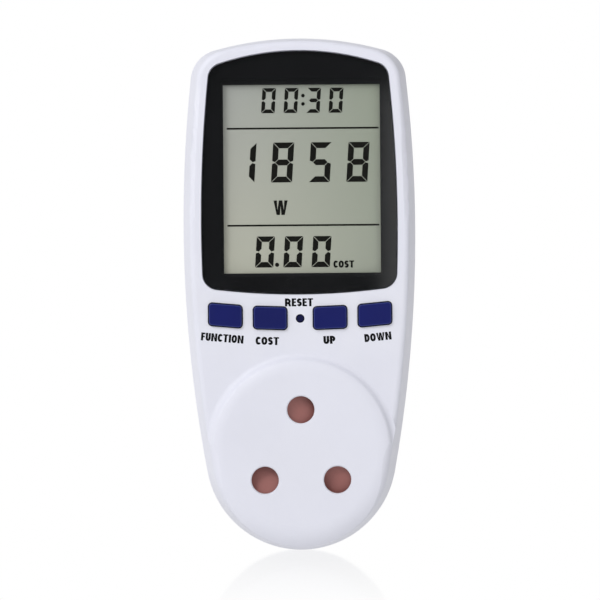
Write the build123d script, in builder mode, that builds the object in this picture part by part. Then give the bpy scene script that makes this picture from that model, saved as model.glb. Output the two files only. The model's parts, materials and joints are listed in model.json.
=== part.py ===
from build123d import *
import os
from math import atan2, cos, degrees, radians, sin, sqrt, tan

# Plug-in power meter with a three-pin socket on its front and a three-pin plug on its back.
# Frame: X to the viewer's right, Z up, the display faces -Y. The origin is the centre of the
# plug's face, where the meter meets the wall outlet, so the case lies at negative Y and the
# pins at positive Y. All sizes are in millimetres.

# ------------------------------------------------------------------ depths along Y
PLUG_FACE_Y = 0.0        # end of the plug boss, on the wall outlet
BACK_Y = -5.0            # lower back of the case
PARTING_Y = -22.0        # plane where the two shells meet
FACE_Y = -38.8           # flat front face
DISC_Y = -41.0           # raised socket disc
BACK_TOP_Y = -10.0       # the sloping back at the case's top

# ------------------------------------------------------------------ case outline on the parting plane
HALF_WIDTH = 31.4        # at the widest height
WIDEST_Z = 58.8
SIDE_R = 365.0           # long side arcs
END_R = 25.8             # round lower end
TOP_Z = 110.1
TOP_R = 84.8             # crown of the upper end
TOP_CORNER_R = 8.7
WALL = 2.0
FRONT_DRAFT = 8.5        # degrees, side walls of the front shell
REAR_DRAFT = 4.0
SHOULDER_R = 1.5         # edge between the front face and the side wall
BACK_EDGE_R = 3.0

# ------------------------------------------------------------------ socket disc
DISC_FLAT_R = 20.3
DISC_DOME_R = 8.0        # soft rounding outside the flat
DISC_DOME_TURN = 19.0    # degrees it turns through before the tighter edge
DISC_EDGE_R = 1.6
DISC_STEEPEST = 62.0     # degrees from the face, at the foot of the edge
DISC_SIDE_R = 3.0        # rounding where the disc is cut off by the case's side walls
DISC_APRON_TOP_Z = -4.5  # below this the soft rounding runs on to the side walls
INNER_CONE_R = 21.2
INNER_CONE_RUN = 1.245   # radial run for each mm of depth
DISC_WALL = 2.0

# ------------------------------------------------------------------ pin pattern, socket and plug alike
PIN_HALF_PITCH = 19.05 / 2
LIVE_Z = -8.06           # line and neutral row
EARTH_Z = 10.4
ENTRY_R = 3.6            # round openings in the disc
ENTRY_CHAMFER = 0.25
LIVE_PIN_R = 2.54
LIVE_PIN_LENGTH = 15.0
EARTH_PIN_R = 3.53
EARTH_PIN_LENGTH = 20.6

# ------------------------------------------------------------------ display stack
LENS_HALF_WIDTH = 25.9
LENS_WIDEST_Z = 59.0
LENS_SIDE_R = 378.0
LENS_TOP_Z = 105.1
LENS_TOP_R = 67.2
LENS_BOTTOM_Z = 40.75
LENS_BOTTOM_R = 179.0
LENS_CORNER_R = 4.2
LENS_RECESS = 0.15       # lens surface below the face
LENS_THICK = 1.5
GASKET_THICK = 0.2
LEDGE_THICK = 1.6        # shell wall that carries the lens
LEDGE_MARGIN = 1.6
FIT_GAP = 0.1            # side clearance of parts that drop into pockets
GASKET_AIR = 0.02        # the border is fixed at its back, so it stands just clear of the lens
DISPLAY_X = 0.75         # the display opening sits right of the case's centre line
WINDOW_HALF_WIDTH = 21.2
WINDOW_BOTTOM_Z = 45.4
WINDOW_TOP_Z = 97.6
VIEW_HALF_WIDTH = 20.8   # visible part of the liquid crystal panel
VIEW_BOTTOM_Z = 46.4
VIEW_TOP_Z = 96.4
GLASS_HALF_WIDTH = 21.7
GLASS_TOP_Z = 98.0
GLASS_BOTTOM_Z = 42.6
CONTACT_LEDGE = 2.6      # strip of the front plate left bare for the zebra strip
GLASS_THICK = 1.1
FILM_THICK = 0.2
HOLDER_LIP = 0.8
HOLDER_WALL = 0.8
LEDGE_RELIEF = 0.6       # the shell's window is this much larger than the lens's clear window
BOARD_THICK = 1.6

# ------------------------------------------------------------------ keys
KEY_ROW_Z = 34.4         # height of the key row on the centre line
KEY_ROW_R = 216.0        # the row rises to both sides on this radius
KEY_X = {"function": -19.7, "cost": -7.9, "up": 7.9, "down": 19.7}
KEY_HALF_WIDTH = 4.35
KEY_HALF_HEIGHT = 2.9
KEY_CORNER_R = 0.9
KEY_GAP = 0.28
KEY_PROUD = 1.0          # key top above the face
KEY_FLANGE = 0.8
KEY_TRAVEL = 0.5
RESET_R = 0.98
RESET_HOLE_R = 1.15
RESET_SUNK = 0.3
SWITCH_SIZE = 6.0
SWITCH_HEIGHT = 3.5
PLUNGER_R = 1.7
PLUNGER_PROUD = 1.0

# ------------------------------------------------------------------ shutter and contacts
SHUTTER_THICK = 3.0
SHUTTER_CLEAR = 0.3
SHUTTER_R = 16.1
SHUTTER_HALF_ANGLE = 21.0
SHUTTER_HUB_R = 5.4
SHUTTER_BORE_R = 2.55
PIVOT_R = 2.5
RAMP_ANGLE = 10.0        # slope of each cover's front, which lets a pin push it aside
RAMP_START = -3.6
SPRING_POCKET_R = 4.3
SPRING_POCKET_DEPTH = 1.7
SPRING_R = 3.4
SPRING_WIRE_R = 0.2
CARRIER_R = 21.3
CARRIER_PLATE = 2.0
CARRIER_LIP = 1.0
CARRIER_SCREW_R = 18.0   # pitch radius of the carrier screws about the shutter axis
CARRIER_SCREW_ANGLES = [48.3, 174.0, 291.0]
LIVE_SLEEVE_R = 3.4
LIVE_SLEEVE_BORE_R = 2.62
LIVE_SLEEVE_BACK_Y = -24.5
LIVE_BARREL_R = 4.8
EARTH_SLEEVE_R = 4.4
EARTH_SLEEVE_BORE_R = 3.6
EARTH_SLEEVE_BACK_Y = -19.5
EARTH_BARREL_R = 5.8
SLEEVE_GAP = 0.15
SLEEVE_BASE = 1.2
LIVE_TAIL_R = 1.6
EARTH_TAIL_R = 2.2
PIN_FLANGE = 1.4
PIN_NECK_STEP = 0.3
PIN_SHOULDER_Y = 0.3     # the full diameter starts just outside the boss's face
LIVE_FLANGE_R = 4.4
EARTH_FLANGE_R = 5.4

# ------------------------------------------------------------------ rear shell and plug details
BACK_WALL = 2.2
BACK_SLOPE_Z = 27.0      # the back leans forward above this height
PLUG_BOSS_R = 21.0
SEAM_DEPTH = 0.3         # groove that marks the joint between the shells
SEAM_HALF_WIDTH = 0.15
TONGUE_HEIGHT = 1.5
TONGUE_INSET = 1.15
TONGUE_GAP = 0.08
PIN_TAIL_R = 1.9
STRAP_Y = -9.2           # front of the straps that ring the pin tails
LOAD_STRAP_Y = -11.6     # front of the strap that feeds the line contact
STRAP_THICK = 0.8
STRAP_HALF_WIDTH = 2.5
TAB_HALF_WIDTH = 1.2
PIN_TAB_Z = 41.0
LOAD_TAB_Z = 38.6
TAB_END_Y = -15.2
PLATE_Y = -6.6           # front of the plate that clamps the pin flanges

# ------------------------------------------------------------------ boards
DISPLAY_BOARD_BOTTOM_Z = 28.0
DISPLAY_BOARD_TOP_Z = 98.8
POWER_BOARD_BOTTOM_Z = 36.0
POWER_BOARD_TOP_Z = 97.6

# ------------------------------------------------------------------ fasteners
BOSS_R = 3.3
SEAT_BOSS_R = 4.1
SEAT_R = 3.1
CASE_PILOT_R = 1.47
CASE_CLEARANCE_R = 1.7
DISPLAY_BOSS_R = 1.7
SMALL_PILOT_R = 0.75
SMALL_SHANK_R = 0.73
MEDIUM_PILOT_R = 0.97
MEDIUM_SHANK_R = 0.95
CARRIER_BOSS_R = 2.6
POWER_POST_R = 2.8
RETAINER_POST_R = 2.6
RETAINER_SCREWS = [(-13.0, 6.0), (13.0, 6.0)]
CASE_SCREWS = [(-12.0, 102.6), (12.0, 102.6), (-20.2, 23.6), (20.2, 23.6)]
DISPLAY_SCREWS = [(-25.2, 47.0), (25.2, 47.0), (-25.2, 80.0), (25.2, 80.0)]
POWER_SCREWS = [(-23.0, 40.0), (23.0, 40.0), (-23.0, 88.0), (23.0, 88.0)]
POST_JOIN_Y = -23.0      # front bosses and rear posts meet here

# ------------------------------------------------------------------ worked out
DISC_INNER_Y = DISC_Y + DISC_WALL
FACE_INNER_Y = FACE_Y + WALL
LENS_FRONT_Y = FACE_Y + LENS_RECESS
LENS_BACK_Y = LENS_FRONT_Y + LENS_THICK
LEDGE_FRONT_Y = LENS_BACK_Y + GASKET_THICK
LEDGE_BACK_Y = LEDGE_FRONT_Y + LEDGE_THICK
POLARIZER_Y = LEDGE_BACK_Y + HOLDER_LIP
FRONT_GLASS_Y = POLARIZER_Y + FILM_THICK
REAR_GLASS_Y = FRONT_GLASS_Y + GLASS_THICK
REFLECTOR_Y = REAR_GLASS_Y + GLASS_THICK
DISPLAY_BOARD_Y = -30.25
DISPLAY_BOARD_BACK_Y = DISPLAY_BOARD_Y + BOARD_THICK
POWER_BOARD_Y = -14.0
POWER_BOARD_BACK_Y = POWER_BOARD_Y + BOARD_THICK
SWITCH_TOP_Y = DISPLAY_BOARD_Y - SWITCH_HEIGHT
PLUNGER_TOP_Y = SWITCH_TOP_Y - PLUNGER_PROUD
SHUTTER_FRONT_Y = DISC_INNER_Y + SHUTTER_CLEAR
SHUTTER_BACK_Y = SHUTTER_FRONT_Y + SHUTTER_THICK
CARRIER_FRONT_Y = SHUTTER_BACK_Y + SHUTTER_CLEAR
BOSS_FLOOR_Y = PLUG_FACE_Y - 3.2
SLEEVE_FRONT_Y = CARRIER_FRONT_Y + CARRIER_LIP

# The shutter turns about the centre of the circle through the three openings.
pattern_height = EARTH_Z - LIVE_Z
PATTERN_R = (PIN_HALF_PITCH**2 + pattern_height**2) / (2 * pattern_height)
PATTERN_Z = EARTH_Z - PATTERN_R
LIVE_ANGLE = degrees(atan2(LIVE_Z - PATTERN_Z, PIN_HALF_PITCH))
ENTRIES = [(-PIN_HALF_PITCH, LIVE_Z), (PIN_HALF_PITCH, LIVE_Z), (0, EARTH_Z)]
COVER_ANGLES = [90.0, LIVE_ANGLE, 180.0 - LIVE_ANGLE]

# Centre of the round lower end, tangent inside both long side arcs.
side_x = HALF_WIDTH - SIDE_R
END_Z = WIDEST_Z - sqrt((SIDE_R - END_R) ** 2 - side_x**2)
reach_x = 4 * HALF_WIDTH
reach_z = END_Z + reach_x * (WIDEST_Z - END_Z) / side_x
# Above these two lines the outline is its long arcs, below them the round end.
keep_region = [(0, END_Z), (reach_x, reach_z), (reach_x, 2 * TOP_Z), (-reach_x, 2 * TOP_Z),
               (-reach_x, reach_z)]

os.makedirs("parts", exist_ok=True)


def front(y):
    """Drawing plane at depth y: local x is X, local y is Z, extruding goes towards the viewer."""
    return Plane(origin=(0, y, 0), x_dir=(1, 0, 0), z_dir=(0, -1, 0))


def save(builder, name):
    """Label a finished piece and write it as one node."""
    builder.part.label = name
    export_step(builder.part, f"parts/{name}.step")


def key_slope(x):
    """Height of the curved key row at x."""
    return KEY_ROW_Z + x * x / (2 * KEY_ROW_R)


def back_y(z):
    """Depth of the sloping upper back at height z."""
    return BACK_Y + (BACK_TOP_Y - BACK_Y) * (z - BACK_SLOPE_Z) / (TOP_Z - BACK_SLOPE_Z)


def case_seat(z):
    """Depth of the seat under a case screw's head."""
    return (back_y(z) if z > BACK_SLOPE_Z else BACK_Y) - 3.6


# ================================================================== outlines
def case_profile(inset=0.0):
    """Outline of the case on the parting plane, inset all round, in X-Z."""
    with BuildSketch() as outline:
        with Locations((side_x, WIDEST_Z)):
            Circle(SIDE_R - inset)
        with Locations((-side_x, WIDEST_Z)):
            Circle(SIDE_R - inset, mode=Mode.INTERSECT)
        with Locations((0, TOP_Z - TOP_R)):
            Circle(TOP_R - inset, mode=Mode.INTERSECT)
        fillet(outline.vertices().group_by(Axis.Y)[-1], TOP_CORNER_R - inset)
        with BuildLine():
            Polyline(*keep_region, close=True)
        make_face(mode=Mode.INTERSECT)
        with Locations((0, END_Z)):
            Circle(END_R - inset)
    return outline.sketch_local


def lens_profile(grow=0.0):
    """Outline of the display lens, grown all round, in X-Z."""
    with BuildSketch() as outline:
        with Locations((LENS_HALF_WIDTH - LENS_SIDE_R, LENS_WIDEST_Z)):
            Circle(LENS_SIDE_R + grow)
        with Locations((LENS_SIDE_R - LENS_HALF_WIDTH, LENS_WIDEST_Z)):
            Circle(LENS_SIDE_R + grow, mode=Mode.INTERSECT)
        with Locations((0, LENS_TOP_Z - LENS_TOP_R)):
            Circle(LENS_TOP_R + grow, mode=Mode.INTERSECT)
        with Locations((0, LENS_BOTTOM_Z + LENS_BOTTOM_R)):
            Circle(LENS_BOTTOM_R + grow, mode=Mode.INTERSECT)
        fillet(outline.vertices(), LENS_CORNER_R + grow)
    return outline.sketch_local


def window_profile(grow=0.0):
    """Outline of the clear window in front of the display."""
    with BuildSketch() as outline:
        with Locations((DISPLAY_X, (WINDOW_TOP_Z + WINDOW_BOTTOM_Z) / 2)):
            RectangleRounded(2 * (WINDOW_HALF_WIDTH + grow),
                             WINDOW_TOP_Z - WINDOW_BOTTOM_Z + 2 * grow, 0.5 + grow)
    return outline.sketch_local


def key_outline(x, grow=0.0):
    """Key shape in X-Z: upright sides, top and bottom following the row's curve."""
    half_width, half_height = KEY_HALF_WIDTH + grow, KEY_HALF_HEIGHT + grow
    left, right = x - half_width, x + half_width
    corners = [
        (left, key_slope(left) - half_height),
        (right, key_slope(right) - half_height),
        (right, key_slope(right) + half_height),
        (left, key_slope(left) + half_height),
    ]
    with BuildSketch() as outline:
        with BuildLine():
            Polyline(corners, close=True)
        make_face()
        fillet(outline.vertices(), KEY_CORNER_R + grow)
    return outline.sketch_local


def rod(x, z, y0, y1, radius, mode=Mode.ADD):
    """Round bar along Y between the depths y0 and y1, y0 being nearer the viewer."""
    with Locations(Plane(origin=(x, y1, z), x_dir=(1, 0, 0), z_dir=(0, -1, 0))):
        Cylinder(radius, y1 - y0, align=(Align.CENTER, Align.CENTER, Align.MIN), mode=mode)


def slab(x0, x1, y0, y1, z0, z1, mode=Mode.ADD):
    """Square block between two corners."""
    with Locations(((x0 + x1) / 2, (y0 + y1) / 2, (z0 + z1) / 2)):
        Box(x1 - x0, y1 - y0, z1 - z0, mode=mode)


def prism(outline, y0, y1, mode=Mode.ADD):
    """Straight-sided block of an outline between two depths."""
    with BuildSketch(front(y1)) as sketch:
        add(outline)
    extrude(sketch.sketch, amount=y1 - y0, mode=mode)


def screw(x, z, seat_y, end_y, head_r, head_height, shank_r):
    """Cross-head screw along Y, its head standing on the seat and its shank reaching end_y."""
    outward = 1 if end_y < seat_y else -1
    head_y = seat_y + outward * head_height
    slot_y = head_y - outward * 0.55 * head_height
    rod(x, z, min(seat_y, end_y), max(seat_y, end_y), shank_r)
    rod(x, z, min(seat_y, head_y), max(seat_y, head_y), head_r)
    slot, reach = 0.16 * head_r, 0.62 * head_r
    y0, y1 = min(slot_y, head_y), max(slot_y, head_y)
    slab(x - slot, x + slot, y0, y1, z - reach, z + reach, mode=Mode.SUBTRACT)
    slab(x - reach, x + reach, y0, y1, z - slot, z + slot, mode=Mode.SUBTRACT)


def tapered_disc(x, z, radius, end_y, draft, mode=Mode.ADD):
    """Round block on the parting plane that narrows by the draft on its way to end_y."""
    run = abs(end_y - PARTING_Y)
    direction = (0, -1, 0) if end_y < PARTING_Y else (0, 1, 0)
    with Locations(Plane(origin=(x, PARTING_Y, z), x_dir=(1, 0, 0), z_dir=direction)):
        Cone(radius, radius - run * tan(radians(draft)), run,
             align=(Align.CENTER, Align.CENTER, Align.MIN), mode=mode)


def drafted_block(inset, end_y, draft):
    """Block of the case outline, inset from the outside, that narrows towards end_y."""
    with BuildPart() as block:
        tapered_disc(side_x, WIDEST_Z, SIDE_R - inset, end_y, draft)
        tapered_disc(-side_x, WIDEST_Z, SIDE_R - inset, end_y, draft, mode=Mode.INTERSECT)
        tapered_disc(0, TOP_Z - TOP_R, TOP_R - inset, end_y, draft, mode=Mode.INTERSECT)
        upper = block.edges().filter_by(lambda e: e.center().Z > WIDEST_Z)
        corners = upper.filter_by(lambda e: abs(e.tangent_at(0.5).Y) > 0.5)
        fillet(corners, TOP_CORNER_R - inset)
        with BuildSketch(front(PARTING_Y)) as keep:
            with BuildLine():
                Polyline(*keep_region, close=True)
            make_face()
        extrude(keep.sketch, amount=2 * abs(end_y - PARTING_Y), both=True, mode=Mode.INTERSECT)
        tapered_disc(0, END_Z, END_R - inset, end_y, draft)
    return block


def turned_disc(bends):
    """Disc about the Y axis whose edge turns away from the flat through arcs, each given as
    its radius and its turn in degrees."""
    root_y = FACE_Y + 3
    with BuildPart() as disc:
        with BuildSketch(Plane.XY):
            with BuildLine():
                edge = Line((0, DISC_Y), (DISC_FLAT_R, DISC_Y))
                for radius, turn in bends:
                    edge = JernArc(start=edge @ 1, tangent=edge % 1, radius=radius,
                                   arc_size=turn)
                rim = edge @ 1
                Polyline(rim, (rim.X, root_y), (0, root_y), (0, DISC_Y))
            make_face()
        revolve(axis=Axis.Y)
    return disc.part


def raised_disc(limit):
    """The socket's disc: stepped up from the face above, rolling into the side walls below."""
    fillet_drop = (FACE_Y - DISC_Y - DISC_DOME_R * (1 - cos(radians(DISC_DOME_TURN)))
                   - DISC_EDGE_R * (cos(radians(DISC_DOME_TURN)) - cos(radians(DISC_STEEPEST))))
    foot_r = fillet_drop / (1 - cos(radians(DISC_STEEPEST)))
    reach = 2 * HALF_WIDTH
    with BuildPart() as apron:
        add(turned_disc([(DISC_DOME_R, 60)]))
        slab(-reach, reach, DISC_Y - 1, PARTING_Y, -reach, DISC_APRON_TOP_Z,
             mode=Mode.INTERSECT)
    with BuildPart() as walls:
        add(limit.part)
        fillet(walls.faces().sort_by(Axis.Y)[0].edges(), DISC_SIDE_R)
    with BuildPart() as disc:
        add(turned_disc([(DISC_DOME_R, DISC_DOME_TURN),
                         (DISC_EDGE_R, DISC_STEEPEST - DISC_DOME_TURN),
                         (foot_r, -DISC_STEEPEST)]))
        add(apron.part)
        add(walls.part, mode=Mode.INTERSECT)
    return disc


def disc_cone(limit, radius, top_y):
    """Cone that hollows the raised disc, cut off inside the case's side walls."""
    depth = 6.0
    with BuildPart() as cone:
        with Locations(front(top_y + depth)):
            Cone(radius + INNER_CONE_RUN * depth, radius, depth,
                 align=(Align.CENTER, Align.CENTER, Align.MIN))
        add(limit.part, mode=Mode.INTERSECT)
    return cone


def seam_groove(y0, y1):
    """Shallow groove round the outside of the case between two depths."""
    with BuildPart() as groove:
        prism(case_profile(-1.0), y0, y1)
        prism(case_profile(SEAM_DEPTH), y0 - 1, y1 + 1, mode=Mode.SUBTRACT)
    return groove


def slope_cut(shift):
    """Cutter behind the sloping upper back, moved forward by shift."""
    top = TOP_Z + 8
    with BuildPart() as cutter:
        with BuildSketch(Plane.YZ):
            with BuildLine():
                Polyline(
                    (BACK_Y - shift, BACK_SLOPE_Z),
                    (back_y(top) - shift, top),
                    (BACK_Y + 20, top),
                    (BACK_Y + 20, BACK_SLOPE_Z),
                    close=True,
                )
            make_face()
        extrude(amount=2 * HALF_WIDTH, both=True)
    return cutter


def wall_middle(z):
    """Depth of the middle of the back wall at height z."""
    return (back_y(z) if z > BACK_SLOPE_Z else BACK_Y) - BACK_WALL / 2


def shutter_point(radius, angle):
    """X and Z of a point given from the shutter's axis."""
    return radius * cos(radians(angle)), PATTERN_Z + radius * sin(radians(angle))


# ================================================================== front shell
face_block = drafted_block(0, FACE_Y, FRONT_DRAFT)
disc_limit = drafted_block(0, DISC_Y, FRONT_DRAFT)
inner_face_block = drafted_block(WALL, FACE_INNER_Y, FRONT_DRAFT)
inner_disc_limit = drafted_block(WALL, DISC_INNER_Y, FRONT_DRAFT)
socket_disc = raised_disc(disc_limit)
inner_cone = disc_cone(inner_disc_limit, INNER_CONE_R, DISC_INNER_Y)

with BuildPart() as front_shell:
    add(face_block.part)
    fillet(front_shell.faces().sort_by(Axis.Y)[0].edges(), SHOULDER_R)
    add(socket_disc.part)

    # hollow inside, with a step at the parting plane for the rear shell's tongue
    add(inner_face_block.part, mode=Mode.SUBTRACT)
    add(inner_cone.part, mode=Mode.SUBTRACT)
    prism(case_profile(TONGUE_INSET - TONGUE_GAP), PARTING_Y - TONGUE_HEIGHT - 0.1, PARTING_Y,
          mode=Mode.SUBTRACT)

    add(seam_groove(PARTING_Y - SEAM_HALF_WIDTH, PARTING_Y).part, mode=Mode.SUBTRACT)

    # pocket and ledge for the display lens
    prism(lens_profile(LEDGE_MARGIN), FACE_INNER_Y - 0.5, LEDGE_BACK_Y)
    prism(lens_profile(FIT_GAP), FACE_Y - 1, LEDGE_FRONT_Y, mode=Mode.SUBTRACT)
    prism(window_profile(LEDGE_RELIEF), LEDGE_FRONT_Y - 1, LEDGE_BACK_Y + 1, mode=Mode.SUBTRACT)

    # openings for the keys, the reset key and the pins
    for x in KEY_X.values():
        prism(key_outline(x, KEY_GAP), FACE_Y - 1, FACE_INNER_Y + 1, mode=Mode.SUBTRACT)
    rod(0, KEY_ROW_Z, FACE_Y - 1, FACE_INNER_Y + 1, RESET_HOLE_R, mode=Mode.SUBTRACT)
    for x, z in ENTRIES:
        rod(x, z, DISC_Y - 1, DISC_INNER_Y + 1, ENTRY_R, mode=Mode.SUBTRACT)
    rims = front_shell.edges().filter_by(GeomType.CIRCLE)
    rims = [e for e in rims if abs(e.radius - ENTRY_R) < 0.01 and e.center().Y < DISC_Y + 0.1]
    chamfer(rims, ENTRY_CHAMFER)

    # screw bosses
    for x, z in CASE_SCREWS:
        rod(x, z, LEDGE_BACK_Y - 0.6 if z > WIDEST_Z else FACE_INNER_Y - 0.6, POST_JOIN_Y, BOSS_R)
        rod(x, z, POST_JOIN_Y - 10.5, POST_JOIN_Y, CASE_PILOT_R, mode=Mode.SUBTRACT)
    for x, z in DISPLAY_SCREWS:
        rod(x, z, LEDGE_BACK_Y - 0.6, DISPLAY_BOARD_Y, DISPLAY_BOSS_R)
        rod(x, z, DISPLAY_BOARD_Y - 4.4, DISPLAY_BOARD_Y, SMALL_PILOT_R, mode=Mode.SUBTRACT)
    for angle in CARRIER_SCREW_ANGLES:
        x, z = shutter_point(CARRIER_SCREW_R, angle)
        rod(x, z, DISC_INNER_Y - 0.6, CARRIER_FRONT_Y, CARRIER_BOSS_R)
        rod(x, z, DISC_INNER_Y - 0.2, CARRIER_FRONT_Y, MEDIUM_PILOT_R, mode=Mode.SUBTRACT)
save(front_shell, "front_shell")

# ================================================================== rear shell
rear_outer = drafted_block(0, BACK_Y, REAR_DRAFT)
rear_inner = drafted_block(BACK_WALL, BACK_Y - BACK_WALL, REAR_DRAFT)
outer_slope = slope_cut(0)
inner_slope = slope_cut(BACK_WALL)

with BuildPart() as rear_cavity:
    add(rear_inner.part)
    add(inner_slope.part, mode=Mode.SUBTRACT)

with BuildPart() as rear_shell:
    add(rear_outer.part)
    add(outer_slope.part, mode=Mode.SUBTRACT)
    rim = [e for e in rear_shell.edges() if e.center().Y > BACK_TOP_Y - 1]
    rim = [e for e in rim if e.length > 1 and not (e.geom_type == GeomType.LINE
                                                   and abs(e.center().Z - BACK_SLOPE_Z) < 1)]
    rim = [e for e in rim if abs(e.tangent_at(0.5).Y) < 0.3]
    fillet(rim, BACK_EDGE_R)
    rod(0, 0, BACK_Y - 1, PLUG_FACE_Y, PLUG_BOSS_R)
    chamfer(rear_shell.faces().sort_by(Axis.Y)[-1].edges(), 0.6)
    add(rear_cavity.part, mode=Mode.SUBTRACT)
    rod(0, 0, BACK_Y - BACK_WALL - 1, BOSS_FLOOR_Y, PLUG_BOSS_R - BACK_WALL, mode=Mode.SUBTRACT)

    add(seam_groove(PARTING_Y, PARTING_Y + SEAM_HALF_WIDTH).part, mode=Mode.SUBTRACT)

    # tongue that locates the front shell
    prism(case_profile(TONGUE_INSET), PARTING_Y - TONGUE_HEIGHT, PARTING_Y + 0.5)
    prism(case_profile(BACK_WALL), PARTING_Y - TONGUE_HEIGHT - 1, PARTING_Y + 1,
          mode=Mode.SUBTRACT)

    # posts for the case screws and the power board
    for x, z in CASE_SCREWS:
        rod(x, z, POST_JOIN_Y, wall_middle(z), BOSS_R)
        rod(x, z, case_seat(z) - 1.6, wall_middle(z), SEAT_BOSS_R)
        rod(x, z, POST_JOIN_Y, case_seat(z), CASE_CLEARANCE_R, mode=Mode.SUBTRACT)
        rod(x, z, case_seat(z), PLUG_FACE_Y, SEAT_R, mode=Mode.SUBTRACT)
    for x, z in POWER_SCREWS:
        rod(x, z, POWER_BOARD_BACK_Y, wall_middle(z), POWER_POST_R)
        rod(x, z, POWER_BOARD_BACK_Y, wall_middle(z) - 0.3, MEDIUM_PILOT_R, mode=Mode.SUBTRACT)

    # inside the plug boss: posts for the clamp plate, and the pin holes
    for x, z in RETAINER_SCREWS:
        rod(x, z, BOSS_FLOOR_Y - PIN_FLANGE, BOSS_FLOOR_Y + 0.5, RETAINER_POST_R)
        rod(x, z, BOSS_FLOOR_Y - PIN_FLANGE, PLUG_FACE_Y - 0.9, MEDIUM_PILOT_R,
            mode=Mode.SUBTRACT)
    for x in (-PIN_HALF_PITCH, PIN_HALF_PITCH):
        rod(x, LIVE_Z, BOSS_FLOOR_Y - 1, PLUG_FACE_Y + 1, LIVE_PIN_R + 0.02, mode=Mode.SUBTRACT)
    rod(0, EARTH_Z, BOSS_FLOOR_Y - 1, PLUG_FACE_Y + 1, EARTH_PIN_R + 0.02, mode=Mode.SUBTRACT)
save(rear_shell, "rear_shell")

# ================================================================== display
with BuildPart() as display_lens:
    prism(lens_profile(), LENS_FRONT_Y, LENS_BACK_Y)
    chamfer(display_lens.faces().sort_by(Axis.Y)[0].edges(), 0.3)
save(display_lens, "display_lens")

with BuildPart() as lens_gasket:
    prism(lens_profile(), LENS_BACK_Y + GASKET_AIR, LEDGE_FRONT_Y)
    prism(window_profile(), LENS_BACK_Y - 1, LEDGE_FRONT_Y + 1, mode=Mode.SUBTRACT)
save(lens_gasket, "lens_gasket")

with BuildPart() as lcd_holder:
    outer_x = GLASS_HALF_WIDTH + FIT_GAP + HOLDER_WALL
    pocket_x = GLASS_HALF_WIDTH + FIT_GAP
    slab(DISPLAY_X - outer_x, DISPLAY_X + outer_x, LEDGE_BACK_Y, DISPLAY_BOARD_Y,
         GLASS_BOTTOM_Z - FIT_GAP - HOLDER_WALL, GLASS_TOP_Z + FIT_GAP + HOLDER_WALL)
    slab(DISPLAY_X - pocket_x, DISPLAY_X + pocket_x, POLARIZER_Y, DISPLAY_BOARD_Y + 1,
         GLASS_BOTTOM_Z - FIT_GAP, GLASS_TOP_Z + FIT_GAP, mode=Mode.SUBTRACT)
    slab(DISPLAY_X - VIEW_HALF_WIDTH, DISPLAY_X + VIEW_HALF_WIDTH, LEDGE_BACK_Y - 1,
         POLARIZER_Y + 1, VIEW_BOTTOM_Z, VIEW_TOP_Z, mode=Mode.SUBTRACT)
save(lcd_holder, "lcd_holder")

film_x = GLASS_HALF_WIDTH - 0.2
plate_bottom = GLASS_BOTTOM_Z + CONTACT_LEDGE


def display_slab(half_width, y0, y1, z0, z1):
    """Layer of the display stack, centred on the display opening."""
    slab(DISPLAY_X - half_width, DISPLAY_X + half_width, y0, y1, z0, z1)


with BuildPart() as lcd_polarizer:
    display_slab(film_x, POLARIZER_Y, FRONT_GLASS_Y, VIEW_BOTTOM_Z - 0.6, GLASS_TOP_Z - 0.2)
save(lcd_polarizer, "lcd_polarizer")

with BuildPart() as lcd_cell:
    display_slab(GLASS_HALF_WIDTH, FRONT_GLASS_Y, REAR_GLASS_Y, GLASS_BOTTOM_Z, GLASS_TOP_Z)
    display_slab(GLASS_HALF_WIDTH, REAR_GLASS_Y, REFLECTOR_Y, plate_bottom, GLASS_TOP_Z)
save(lcd_cell, "lcd_cell")

with BuildPart() as lcd_reflector:
    display_slab(film_x, REFLECTOR_Y, REFLECTOR_Y + FILM_THICK,
                 plate_bottom + 0.3, GLASS_TOP_Z - 0.2)
save(lcd_reflector, "lcd_reflector")

with BuildPart() as zebra_strip:
    display_slab(20, REAR_GLASS_Y, DISPLAY_BOARD_Y, GLASS_BOTTOM_Z + 0.2, plate_bottom - 0.3)
save(zebra_strip, "zebra_strip")

with BuildPart() as lcd_pad:
    display_slab(20, REFLECTOR_Y + FILM_THICK, DISPLAY_BOARD_Y, GLASS_TOP_Z - 3.5,
                 GLASS_TOP_Z - 1)
save(lcd_pad, "lcd_pad")

with BuildPart() as display_board:
    with BuildSketch(front(DISPLAY_BOARD_BACK_Y)):
        add(case_profile(3.8))
        with Locations((0, (DISPLAY_BOARD_BOTTOM_Z + DISPLAY_BOARD_TOP_Z) / 2)):
            Rectangle(3 * HALF_WIDTH, DISPLAY_BOARD_TOP_Z - DISPLAY_BOARD_BOTTOM_Z,
                      mode=Mode.INTERSECT)
        with Locations(*DISPLAY_SCREWS):
            Circle(SMALL_SHANK_R + 0.15, mode=Mode.SUBTRACT)
    extrude(amount=BOARD_THICK)
save(display_board, "display_board")

# ================================================================== keys
KEY_TOP_Y = FACE_Y - KEY_PROUD
FLANGE_Y = FACE_INNER_Y + 0.05
STEM_Y = FLANGE_Y + KEY_FLANGE
for name, x in KEY_X.items():
    z = key_slope(x)
    with BuildPart() as key:
        prism(key_outline(x), KEY_TOP_Y, FLANGE_Y)
        fillet(key.faces().sort_by(Axis.Y)[0].edges(), 0.4)
        prism(key_outline(x, 0.8), FLANGE_Y, STEM_Y)
        rod(x, z, STEM_Y, PLUNGER_TOP_Y, 1.6)
    save(key, f"button_{name}")

with BuildPart() as reset_key:
    rod(0, KEY_ROW_Z, FACE_Y + RESET_SUNK, FLANGE_Y, RESET_R)
    fillet(reset_key.faces().sort_by(Axis.Y)[0].edges(), 0.25)
    rod(0, KEY_ROW_Z, FLANGE_Y, STEM_Y, 2.2)
    rod(0, KEY_ROW_Z, STEM_Y, PLUNGER_TOP_Y, 1.3)
save(reset_key, "button_reset")

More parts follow.
